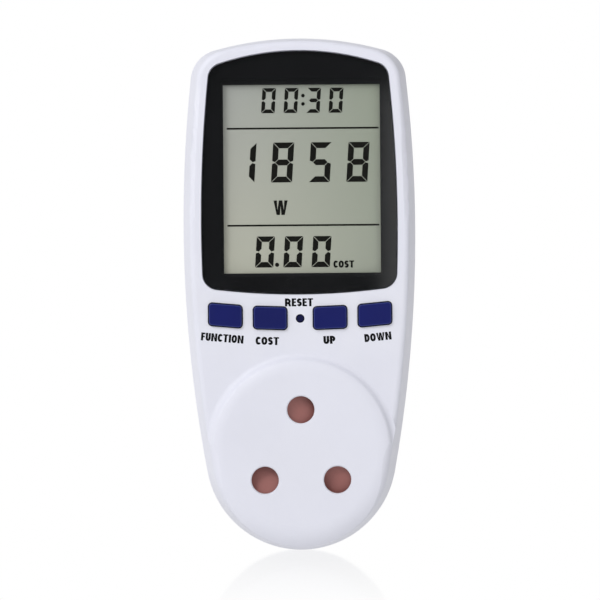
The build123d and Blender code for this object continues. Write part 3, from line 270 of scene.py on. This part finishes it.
MATERIALS = {
    "shell": surface("shell_plastic", SHELL_WHITE, (0.42, 0.52), grain=1800, grain_depth=0.012,
                     variation=0.012, wear=0.1, specular=0.4),
    "keycap": keycap("navy_keycap", KEY_BLUE),
    "reset_key": surface("reset_key", srgb(17, 20, 62), (0.4, 0.5), variation=0.06,
                         specular=0.1),
    "lens": clear_plastic("lens_acrylic", (0.97, 0.975, 0.98)),
    "black_film": surface("black_border", srgb(16, 17, 19), (0.5, 0.6), variation=0.1,
                          specular=0.04),
    "dark_plastic": surface("dark_holder", srgb(26, 27, 29), (0.5, 0.6), variation=0.08,
                            specular=0.08),
    "lcd_film": lcd_material(),
    "lcd_glass": clear_plastic("display_glass", (0.93, 0.95, 0.93)),
    "reflector": surface("reflector_film", srgb(190, 192, 180), (0.3, 0.4)),
    "elastomer": surface("elastomer", srgb(45, 45, 48), (0.7, 0.8), grain=900),
    "circuit_board": surface("solder_mask", srgb(25, 95, 50), (0.25, 0.4), variation=0.15,
                             blotch=300, coat=0.3),
    "switch_body": surface("black_nylon", srgb(28, 28, 29), (0.45, 0.55)),
    "spring_steel": surface("spring_steel", srgb(190, 190, 192), (0.2, 0.32), metallic=1.0),
    "screw_steel": surface("zinc_plate", srgb(186, 186, 182), (0.25, 0.42), metallic=1.0,
                           wear=0.2),
    "shutter": surface("shutter_plastic", srgb(148, 94, 88), (0.45, 0.55), variation=0.06,
                       wear=0.15),
    "carrier": surface("carrier_moulding", srgb(205, 204, 198), (0.45, 0.55)),
    "contact_brass": surface("tinned_brass", srgb(206, 186, 130), (0.22, 0.36), metallic=1.0,
                             variation=0.08),
    "pin_brass": surface("plated_pin", srgb(214, 206, 186), (0.14, 0.28), metallic=1.0,
                         grain=3000, grain_depth=0.01, variation=0.05, wear=0.3,
                         stretch=(1, 0.08, 1)),
    "copper": surface("copper_strip", srgb(200, 126, 90), (0.25, 0.4), metallic=1.0,
                      variation=0.12),
    "capacitor_film": surface("film_capacitor_case", srgb(190, 170, 70), (0.3, 0.4)),
    "capacitor_can": surface("capacitor_sleeve", srgb(40, 42, 60), (0.25, 0.35)),
    "varistor_blue": surface("varistor_coating", srgb(40, 80, 150), (0.3, 0.42)),
    "battery_sleeve": surface("battery_sleeve", srgb(50, 110, 70), (0.25, 0.35)),
    "chip_black": surface("chip_moulding", srgb(30, 30, 31), (0.5, 0.62)),
    "label_paper": surface("blank_label", srgb(205, 206, 208), (0.3, 0.42), metallic=0.35,
                           variation=0.03),
}
INK = surface("printed_ink", srgb(14, 14, 17), (0.5, 0.6), variation=0.1, specular=0.08)
SEGMENT = surface("lcd_segment", srgb(20, 20, 16), (0.5, 0.6), variation=0.1, specular=0.04)

for node_name, obj in frame["nodes"].items():
    obj.data.materials.clear()
    obj.data.materials.append(MATERIALS[SLOT_OF[node_name]])


# ---------------------------------------------------------------- display characters
def mesh_object(name, bm, material, body):
    """Turn a bmesh into a piece that rides on a body."""
    bmesh.ops.recalc_face_normals(bm, faces=bm.faces)
    mesh = bpy.data.meshes.new(name)
    bm.to_mesh(mesh)
    bm.free()
    obj = bpy.data.objects.new(name, mesh)
    bpy.context.scene.collection.objects.link(obj)
    mesh.materials.append(material)
    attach(obj, body)
    return obj


def add_plate(bm, corners, y, thickness):
    """Flat polygon in X-Z (millimetres), given a small thickness towards the viewer."""
    front = [bm.verts.new((x * MM, (y - thickness) * MM, z * MM)) for x, z in corners]
    back = [bm.verts.new((x * MM, y * MM, z * MM)) for x, z in corners]
    bm.faces.new(front)
    bm.faces.new(reversed(back))
    count = len(corners)
    for i in range(count):
        j = (i + 1) % count
        bm.faces.new((front[i], back[i], back[j], front[j]))


# All sizes and places from here to the label are in millimetres.
SEGMENTS_ON = {"0": "abcdef", "1": "bc", "3": "abgcd", "5": "afgcd", "8": "abcdefg"}
SLANT = tan(radians(3.7))
SEGMENT_GAP = 0.2
SEGMENT_THICK = 0.02
FILM_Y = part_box("lcd_polarizer")[0].y / MM


def digit(bm, char, left, bottom, width, height, stroke):
    """Seven-segment digit whose lower left corner is at (left, bottom)."""
    s, w, h = stroke, width, height
    half, mid, gap = s / 2, h / 2, SEGMENT_GAP / 2
    point = half * 0.4      # the upright segments' outer corners stop this far from their tips
    shapes = {
        "a": [(gap, h), (w - gap, h), (w - s - gap, h - s), (s + gap, h - s)],
        "d": [(gap, 0), (w - gap, 0), (w - s - gap, s), (s + gap, s)],
        "g": [(half + gap, mid), (s + gap, mid + half), (w - s - gap, mid + half),
              (w - half - gap, mid), (w - s - gap, mid - half), (s + gap, mid - half)],
        "f": [(0, h - gap), (s, h - s - gap), (s, mid + half + gap), (half, mid + gap),
              (0, mid + gap + point)],
        "b": [(w, h - gap), (w - s, h - s - gap), (w - s, mid + half + gap),
              (w - half, mid + gap), (w, mid + gap + point)],
        "e": [(0, gap), (s, s + gap), (s, mid - half - gap), (half, mid - gap),
              (0, mid - gap - point)],
        "c": [(w, gap), (w - s, s + gap), (w - s, mid - half - gap), (w - half, mid - gap),
              (w, mid - gap - point)],
    }
    for key in SEGMENTS_ON[char]:
        points = [(left + x + z * SLANT, bottom + z) for x, z in shapes[key]]
        add_plate(bm, points, FILM_Y, SEGMENT_THICK)


def dot(bm, x, z, radius):
    """Round dot of the readout."""
    sides = 24
    ring = [(x + radius * cos(2 * pi * i / sides), z + radius * sin(2 * pi * i / sides))
            for i in range(sides)]
    add_plate(bm, ring, FILM_Y, SEGMENT_THICK)


def number_row(text, centre_x, bottom, pitch, width, height, stroke):
    """Row of digits whose cells are a pitch apart and centred on centre_x."""
    bm = bmesh.new()
    left = centre_x - pitch * (len(text) - 1) / 2 - width / 2 - height * SLANT / 2
    for i, char in enumerate(text):
        digit(bm, char, left + i * pitch, bottom, width, height, stroke)
    return bm


def finish_segments(name, bm):
    return mesh_object(name, bm, SEGMENT, "case")


# time with its colon, main reading, cost with its point, and the rules between the rows
clock = number_row("0030", centre_x=1.02, bottom=88.9, pitch=5.97, width=3.6, height=6.65,
                   stroke=1.0)
for z in (91.3, 93.5):
    dot(clock, 1.2, z, radius=0.48)
finish_segments("lcd_clock", clock)

reading = number_row("1858", centre_x=0.67, bottom=70.5, pitch=10.0, width=5.6, height=10.6,
                     stroke=1.55)
finish_segments("lcd_reading", reading)

cost = number_row("000", centre_x=-1.68, bottom=47.95, pitch=7.5, width=4.85, height=8.25,
                  stroke=1.45)
dot(cost, -6.0, 48.65, radius=0.56)
finish_segments("lcd_cost", cost)

RULE_LEFT, RULE_RIGHT, RULE_HALF = -19.1, 21.2, 0.24
rules = bmesh.new()
for z in (59.1, 84.85):
    low, high = z - RULE_HALF, z + RULE_HALF
    add_plate(rules, [(RULE_LEFT, low), (RULE_RIGHT, low), (RULE_RIGHT, high),
                      (RULE_LEFT, high)], FILM_Y, SEGMENT_THICK)
finish_segments("lcd_rules", rules)


# ---------------------------------------------------------------- printed words
# Letters are drawn from their strokes in a box one unit high. Each is its width and a list of
# shapes: "area" is a filled outline, "line" and "loop" are bands along a path.
STEM = 0.27
HALF_STEM = STEM / 2
BAR = 0.2
LETTER_GAP = 0.07


def arc(cx, cz, rx, rz, start, end, steps=14, power=1.0):
    """Points along an ellipse, or a squarer oval when power is below 1."""
    points = []
    for i in range(steps + 1):
        angle = radians(start + (end - start) * i / steps)
        c, s = cos(angle), sin(angle)
        points.append((cx + rx * (abs(c) ** power) * (1 if c >= 0 else -1),
                       cz + rz * (abs(s) ** power) * (1 if s >= 0 else -1)))
    return points


def bowl_letter(w):
    """Stem and bowl shared by P and R."""
    low = 0.4
    r = (1 - HALF_STEM - low) / 2
    return [(HALF_STEM, 0), (HALF_STEM, 1 - HALF_STEM), (w - HALF_STEM - r, 1 - HALF_STEM)] + arc(
        w - HALF_STEM - r, low + r, r, r, 75, -90, 10) + [(STEM, low)]


def letter_shapes(char):
    """A letter's width and its shapes."""
    if char == "I":
        return STEM, [("area", [(0, 0), (STEM, 0), (STEM, 1), (0, 1)])]
    if char == "T":
        w, low = 0.64, 0.82
        left, right = (w - STEM) / 2, (w + STEM) / 2
        return w, [("area", [(left, 0), (right, 0), (right, low), (w, low), (w, 1), (0, 1),
                             (0, low), (left, low)])]
    if char == "F":
        w, arm, low = 0.51, 0.45, 0.41
        return w, [("area", [(0, 0), (STEM, 0), (STEM, low), (arm, low), (arm, low + BAR),
                             (STEM, low + BAR), (STEM, 1 - BAR), (w, 1 - BAR), (w, 1),
                             (0, 1)])]
    if char == "E":
        w, arm, top, low = 0.53, 0.48, 0.52, 0.42
        return w, [("area", [(0, 0), (w, 0), (w, BAR), (STEM, BAR), (STEM, low), (arm, low),
                             (arm, low + BAR), (STEM, low + BAR), (STEM, 1 - BAR),
                             (top, 1 - BAR), (top, 1), (0, 1)])]
    if char == "N":
        w = 0.74
        return w, [("area", [(0, 0), (STEM, 0), (STEM, 0.6), (w - STEM, 0), (w, 0), (w, 1),
                             (w - STEM, 1), (w - STEM, 0.4), (STEM, 1), (0, 1)])]
    if char == "W":
        w, t = 1.04, 0.25
        return w, [("area", [(0, 1), (t, 1), (w * 0.27, 0.33), (w / 2 - t * 0.5, 1),
                             (w / 2 + t * 0.5, 1), (w * 0.73, 0.33), (w - t, 1), (w, 1),
                             (w * 0.79, 0), (w * 0.79 - t, 0), (w / 2, 0.64),
                             (w * 0.21 + t, 0), (w * 0.21, 0)])]
    if char == "U":
        w, r = 0.62, 0.24
        low = HALF_STEM + r
        return w, [("line", [(HALF_STEM, 1), (HALF_STEM, low)]
                    + arc(w / 2, low, w / 2 - HALF_STEM, r, 195, 345)
                    + [(w - HALF_STEM, low), (w - HALF_STEM, 1)])]
    if char == "O":
        w = 0.69
        return w, [("loop", arc(w / 2, 0.5, w / 2 - HALF_STEM, 0.5 - HALF_STEM, 0, 345, 23,
                                0.88))]
    if char == "C":
        w = 0.65
        return w - 0.04, [("line", arc(w / 2, 0.5, w / 2 - HALF_STEM, 0.5 - HALF_STEM, 38,
                                       322, 22, 0.9))]
    if char == "D":
        w, x = 0.63, 0.26
        return w, [("loop", [(HALF_STEM, 1 - HALF_STEM), (HALF_STEM, HALF_STEM)]
                    + arc(x, 0.5, w - HALF_STEM - x, 0.5 - HALF_STEM, -90, 90, 14, 0.9))]
    if char == "S":
        w, r = 0.58, (1 - STEM) / 4
        return w, [("line", arc(w / 2, 1 - HALF_STEM - r, w / 2 - HALF_STEM, r, 20, 250, 12)
                    + arc(w / 2, HALF_STEM + r, w / 2 - HALF_STEM, r, 70, -160, 12))]
    if char == "P":
        w = 0.59
        return w, [("line", bowl_letter(w))]
    if char == "R":
        w, lean, top = 0.72, 0.12, 0.46
        return w, [("line", bowl_letter(w - 0.05)),
                   ("area", [(w - STEM - lean, top), (w - lean, top), (w, 0),
                             (w - STEM, 0)])]
    raise ValueError(char)


def band_sides(path, thick, closed):
    """The two edges of a band of even width along a path, mitred at its corners."""
    left, right = [], []
    count = len(path)
    for i in range(count):
        here = Vector(path[i])
        before = Vector(path[i - 1]) if closed or i else None
        after = Vector(path[(i + 1) % count]) if closed or i < count - 1 else None
        into = (here - before).normalized() if before is not None else None
        out = (after - here).normalized() if after is not None else None
        into, out = into or out, out or into
        normal = Vector((-(into + out).y, (into + out).x)).normalized()
        square = Vector((-into.y, into.x))
        reach = thick / 2 / max(0.4, normal.dot(square))
        left.append(tuple(here + normal * reach))
        right.append(tuple(here - normal * reach))
    return left, right


def add_band(bm, left, right, closed, place, y, thick):
    """Thin solid between two edges."""
    def row(points, depth):
        made = []
        for point in points:
            x, z = place(point)
            made.append(bm.verts.new((x * MM, depth * MM, z * MM)))
        return made
    fl, fr = row(left, y - thick), row(right, y - thick)
    bl, br = row(left, y), row(right, y)
    count = len(left)
    for i in range(count if closed else count - 1):
        j = (i + 1) % count
        bm.faces.new((fl[i], fr[i], fr[j], fl[j]))
        bm.faces.new((bl[i], bl[j], br[j], br[i]))
        bm.faces.new((fl[i], fl[j], bl[j], bl[i]))
        bm.faces.new((fr[i], br[i], br[j], fr[j]))
    if not closed:
        bm.faces.new((fl[0], bl[0], br[0], fr[0]))
        bm.faces.new((fl[-1], fr[-1], br[-1], bl[-1]))


def word(name, text, x, z, width, height, turn, y, thick, material):
    """Word of the given width and height centred at (x, z), turned clockwise in degrees."""
    widths = [letter_shapes(char)[0] for char in text]
    total = sum(widths) + LETTER_GAP * (len(text) - 1)
    scale_x = width / total
    c, s = cos(radians(turn)), sin(radians(turn))
    bm = bmesh.new()
    start = 0.0
    for char, letter_width in zip(text, widths):
        def place(point, start=start):
            u = (start + point[0] - total / 2) * scale_x
            v = (point[1] - 0.5) * height
            return x + u * c + v * s, z - u * s + v * c
        for kind, points in letter_shapes(char)[1]:
            if kind == "area":
                add_plate(bm, [place(p) for p in points], y, thick)
            else:
                closed = kind == "loop"
                left, right = band_sides(points, STEM, closed)
                add_band(bm, left, right, closed, place, y, thick)
        start += letter_width + LETTER_GAP
    return mesh_object(name, bm, material, "case")


FACE_Y = -38.8           # front of the case round the keys
LEGEND_HEIGHT = 2.1
INK_SUNK, INK_THICK = 0.01, 0.03
LEGENDS = [              # name, text, x, z, width, clockwise turn
    ("legend_function", "FUNCTION", -20.55, 29.4, 11.2, 4.95),
    ("legend_cost", "COST", -8.7, 28.55, 6.15, 1.95),
    ("legend_up", "UP", 7.67, 28.7, 3.15, -2.05),
    ("legend_down", "DOWN", 20.45, 29.4, 7.1, -5.55),
    ("legend_reset", "RESET", -0.27, 38.65, 7.4, 0.0),
]
for name, text, x, z, width, turn in LEGENDS:
    word(name, text, x, z, width, LEGEND_HEIGHT, turn, FACE_Y + INK_SUNK, INK_THICK, INK)

LCD_WORDS = [            # name, text, x, z, width, height
    ("lcd_watt", "W", -4.95, 63.8, 3.75, 3.85),
    ("lcd_cost_word", "COST", 11.7, 48.7, 5.5, 1.9),
]
for name, text, x, z, width, height in LCD_WORDS:
    word(name, text, x, z, width, height, 0, FILM_Y, SEGMENT_THICK, SEGMENT)


# ---------------------------------------------------------------- blank rating label
def label_print():
    """Border and empty fields printed on the label of the sloping back."""
    verts = [v.co for v in frame["nodes"]["rating_label"].data.vertices]
    low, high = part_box("rating_label")
    bottom = max((v.y, v.z) for v in verts if v.z < low.z + MM)
    top = max((v.y, v.z) for v in verts if v.z > high.z - MM)
    origin = Vector((0, bottom[0], bottom[1]))
    upward = Vector((0, top[0], top[1])) - origin
    height = upward.length / MM
    upward.normalize()
    outward = Vector((1, 0, 0)).cross(upward)
    if outward.y < 0:
        outward.negate()
    half = (high.x - low.x) / 2 / MM
    bm = bmesh.new()

    def bar(x0, x1, v0, v1):
        """Bar from x0 to x1 across the label and from v0 to v1 up its slope."""
        corners = [(x0, v0), (x1, v0), (x1, v1), (x0, v1)]
        inner = [bm.verts.new(origin + Vector((x * MM, 0, 0)) + upward * v * MM
                              - outward * INK_SUNK * MM) for x, v in corners]
        outer = [bm.verts.new(v.co + outward * INK_THICK * MM) for v in inner]
        bm.faces.new(outer)
        bm.faces.new(reversed(inner))
        for i in range(4):
            j = (i + 1) % 4
            bm.faces.new((outer[i], inner[i], inner[j], outer[j]))

    line, thin, inset = 0.3, 0.2, 1.2
    x, v = half - inset, height - inset
    bar(-x, x, inset, inset + line)
    bar(-x, x, v - line, v)
    bar(-x, -x + line, inset + line, v - line)
    bar(x - line, x, inset + line, v - line)
    rows = [height * share for share in (0.27, 0.48, 0.69)]
    for row in rows:
        bar(-x + line, x - line, row, row + thin)
    bar(-thin / 2, thin / 2, inset + line, rows[0])
    return mesh_object("label_print", bm, INK, "case")


label_print()


# ---------------------------------------------------------------- floor, light and camera
FLOOR_SIZE = 60          # metres
FLOOR_DROP = 0.0002      # metres below the object
FLOOR_GLOSS = 0.25
FLOOR_GLOSS_FADE = (0.05, 0.16)    # metres from the floor's middle
FLOOR_BOUNCE = 0.72      # brightness that the floor throws on the object


def floor_material():
    """White sweep with a faint gloss round the object's foot."""
    t = Tree.material("floor_white")
    glow = t.node("ShaderNodeEmission")
    glow.inputs["Color"].default_value = (1, 1, 1, 1)
    bounced = t.node("ShaderNodeLightPath").outputs["Is Diffuse Ray"]
    t.link(t.remap(bounced, 0.0, 1.0, 1.0, FLOOR_BOUNCE), glow.inputs["Strength"])
    gloss = t.white_gloss(t.remap(t.noise(6, 2.0), 0.3, 0.7, 0.05, 0.07))
    distance = t.node("ShaderNodeVectorMath", operation="LENGTH")
    t.link(t.coords, distance.inputs[0])
    t.mix_shaders(t.remap(distance.outputs["Value"], *FLOOR_GLOSS_FADE, FLOOR_GLOSS, 0.0),
                  glow.outputs["Emission"], gloss.outputs["BSDF"])
    return t.owner


def add_floor():
    """Flat square just below the object."""
    bm = bmesh.new()
    bmesh.ops.create_grid(bm, x_segments=1, y_segments=1, size=0.5)
    mesh = bpy.data.meshes.new("floor")
    bm.to_mesh(mesh)
    bm.free()
    mesh.transform(Matrix.LocRotScale(Vector((0, 0, cad_box[0][2] - FLOOR_DROP)), None,
                                      Vector((FLOOR_SIZE, FLOOR_SIZE, 1))))
    mesh.materials.append(floor_material())
    floor = bpy.data.objects.new("floor", mesh)
    bpy.context.scene.collection.objects.link(floor)


add_floor()

LIT_POINT = Vector((0, -0.03, 0.04))


def area_light(name, location, size, power):
    """Square light aimed at the object's face; metres and watts."""
    light = bpy.data.lights.new(name, "AREA")
    light.shape = "SQUARE"
    light.size = size
    light.energy = power
    obj = bpy.data.objects.new(name, light)
    obj.location = location
    direction = LIT_POINT - Vector(location)
    obj.rotation_euler = direction.to_track_quat("-Z", "Y").to_euler()
    bpy.context.scene.collection.objects.link(obj)


area_light("key", (-0.50, -0.85, 0.75), size=0.4, power=4.8)
area_light("fill", (0.55, -1.00, 0.35), size=0.7, power=2.0)

# brightness of the room's parts
LEFT_WALL, FRONT_ROOM = 1.13, 0.54
RIGHT_WALL = 0.22        # share of the front room's brightness left on the far right
DARK_PATCH = 0.17        # share left straight behind the viewer
CARD = 1.55
# where they fade into each other, as parts of a unit direction
LEFT_FADE, RIGHT_FADE = (-0.95, -0.30), (0.40, 0.90)
DARK_FADE, BACKDROP_FADE, CARD_FRONT_FADE = (0.93, 0.985), (0.88, 0.96), (0.5, 0.7)
# edges of the card, as slopes of the direction
CARD_LEFT_EDGE, CARD_RIGHT_EDGE, CARD_TOP_EDGE = (0.030, 0.046), (0.30, 0.40), (0.085, 0.100)


def white_card(t, direction, toward_viewer):
    """White card beside the viewer, seen as a pale strip in the right of the lens."""
    depth = t.math("MAXIMUM", toward_viewer, 0.01)
    slope_x = t.math("DIVIDE", direction["X"], depth)
    slope_z = t.math("DIVIDE", direction["Z"], depth)
    card = t.math("MULTIPLY", t.remap(slope_x, *CARD_LEFT_EDGE, shape="SMOOTHSTEP"),
                  t.remap(slope_z, *CARD_TOP_EDGE, 1.0, 0.0, "SMOOTHSTEP"))
    card = t.math("MULTIPLY", card,
                  t.remap(slope_x, *CARD_RIGHT_EDGE, CARD, 0.0, "SMOOTHSTEP"))
    return t.math("MULTIPLY", card,
                  t.remap(toward_viewer, *CARD_FRONT_FADE, shape="SMOOTHSTEP"))


def studio_world():
    """Soft room: bright on the left, dark on the far right, dim behind the viewer, with a
    white backdrop behind the object and white wherever the camera sees past it."""
    world = bpy.data.worlds.new("studio")
    t = Tree(world, "ShaderNodeOutputWorld")
    direction = t.split(t.node("ShaderNodeTexCoord").outputs["Generated"])
    toward_viewer = t.math("MULTIPLY", direction["Y"], -1.0)
    room = t.math("MULTIPLY",
                  t.remap(direction["X"], *LEFT_FADE, LEFT_WALL, FRONT_ROOM, "SMOOTHSTEP"),
                  t.remap(direction["X"], *RIGHT_FADE, 1.0, RIGHT_WALL, "SMOOTHSTEP"))
    room = t.math("MULTIPLY", room,
                  t.remap(toward_viewer, *DARK_FADE, 1.0, DARK_PATCH, "SMOOTHSTEP"))
    room = t.math("MAXIMUM", room,
                  t.remap(direction["Y"], *BACKDROP_FADE, shape="SMOOTHSTEP"))
    lit = t.math("ADD", room, white_card(t, direction, toward_viewer))
    background = t.node("ShaderNodeBackground")
    background.inputs["Color"].default_value = (1, 1, 1, 1)
    t.link(t.math("MAXIMUM", lit, t.node("ShaderNodeLightPath").outputs["Is Camera Ray"]),
           background.inputs["Strength"])
    t.link(background.outputs["Background"], t.out.inputs["Surface"])
    return world


bpy.context.scene.world = studio_world()

# level camera straight in front of the face, rolled slightly; lens in millimetres
CAMERA_DISTANCE, CAMERA_HEIGHT, CAMERA_ROLL, LENS = 0.6388, 0.03926, 0.45, 136.6
camera_data = bpy.data.cameras.new("camera")
camera_data.sensor_width = 36.0
camera_data.lens = LENS
camera_data.clip_start = 0.01
camera_data.clip_end = 100.0
camera = bpy.data.objects.new("camera", camera_data)
camera.location = (0.0, -CAMERA_DISTANCE, CAMERA_HEIGHT)
camera.rotation_euler = (Matrix.Rotation(radians(CAMERA_ROLL), 3, "Y")
                         @ Matrix.Rotation(radians(90), 3, "X")).to_euler()
bpy.context.scene.collection.objects.link(camera)
bpy.context.scene.camera = camera

bpy.context.scene.view_settings.view_transform = "Standard"
bpy.context.scene.view_settings.look = "None"
